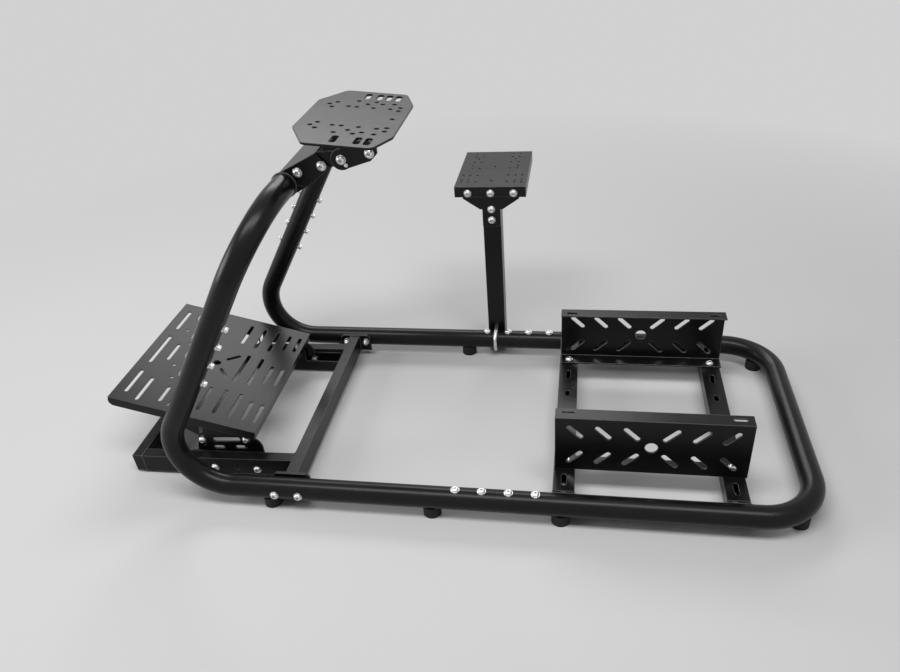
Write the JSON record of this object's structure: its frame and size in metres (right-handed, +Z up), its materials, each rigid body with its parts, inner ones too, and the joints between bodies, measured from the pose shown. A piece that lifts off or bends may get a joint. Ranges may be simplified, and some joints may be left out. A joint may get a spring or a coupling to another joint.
{
  "type": "sim racing cockpit",
  "caption": "Open round-tube driving game cockpit frame with tilting wheel plate, tilting slotted pedal plate, shifter stand and seat brackets.",
  "frame": {"origin": "on the floor, between the two side tubes and half way along the frame", "axes": "+X from the pedals to the seat end, +Y to the driver's right (shifter side), +Z up"},
  "size_m": [1.3751, 0.782, 0.6806],
  "materials": {
    "black_powder_coat": "fine matt texture",
    "zinc_steel": "bright zinc",
    "black_plastic": "matt",
    "foot_rubber": "matt"
  },
  "bodies": {
    "frame": {"rear_loop_tube": "black_powder_coat", "left_front_tube": "black_powder_coat", "right_front_tube": "black_powder_coat", "left_upright_tube": "black_powder_coat", "right_upright_tube": "black_powder_coat", "left_side_sleeve": "black_powder_coat", "right_side_sleeve": "black_powder_coat", "left_upright_sleeve": "black_powder_coat", "right_upright_sleeve": "black_powder_coat", "left_crown_flange": "black_powder_coat", "right_crown_flange": "black_powder_coat", "wheel_saddle": "black_powder_coat", "wheel_spacers": "zinc_steel", "front_cross_beam": "black_powder_coat", "beam_end_plates": "black_powder_coat", "left_pedal_frame_rail": "black_powder_coat", "right_pedal_frame_rail": "black_powder_coat", "pedal_frame_front_bar": "black_powder_coat", "left_pedal_channel": "black_powder_coat", "right_pedal_channel": "black_powder_coat", "pedal_spacers": "zinc_steel", "front_seat_beam": "black_powder_coat", "rear_seat_beam": "black_powder_coat", "left_seat_bracket": "black_powder_coat", "right_seat_bracket": "black_powder_coat", "shifter_post": "black_powder_coat", "shifter_post_cap": "black_plastic", "shifter_u_bolt": "zinc_steel", "shifter_tee_bracket": "black_powder_coat", "shifter_plate": "black_powder_coat", "side_feet": "foot_rubber", "corner_feet": "foot_rubber", "pedal_frame_feet": "foot_rubber"},
    "wheel_deck": {"wheel_plate": "black_powder_coat", "left_wheel_plate_ear": "black_powder_coat", "right_wheel_plate_ear": "black_powder_coat"},
    "pedal_deck": {"pedal_plate": "black_powder_coat", "left_pedal_ear": "black_powder_coat", "right_pedal_ear": "black_powder_coat"}
  },
  "joints": [
    {"name": "wheel_plate_tilt", "type": "hinge", "parent": "frame", "child": "wheel_deck", "pos_m": [-0.148, 0, 0.633], "axis": [0, 1, 0], "range_deg": [-6, 5]},
    {"name": "pedal_plate_tilt", "type": "hinge", "parent": "frame", "child": "pedal_deck", "pos_m": [-0.416, 0, 0.074], "axis": [0, 1, 0], "range_deg": [-14, 6]}
  ]
}
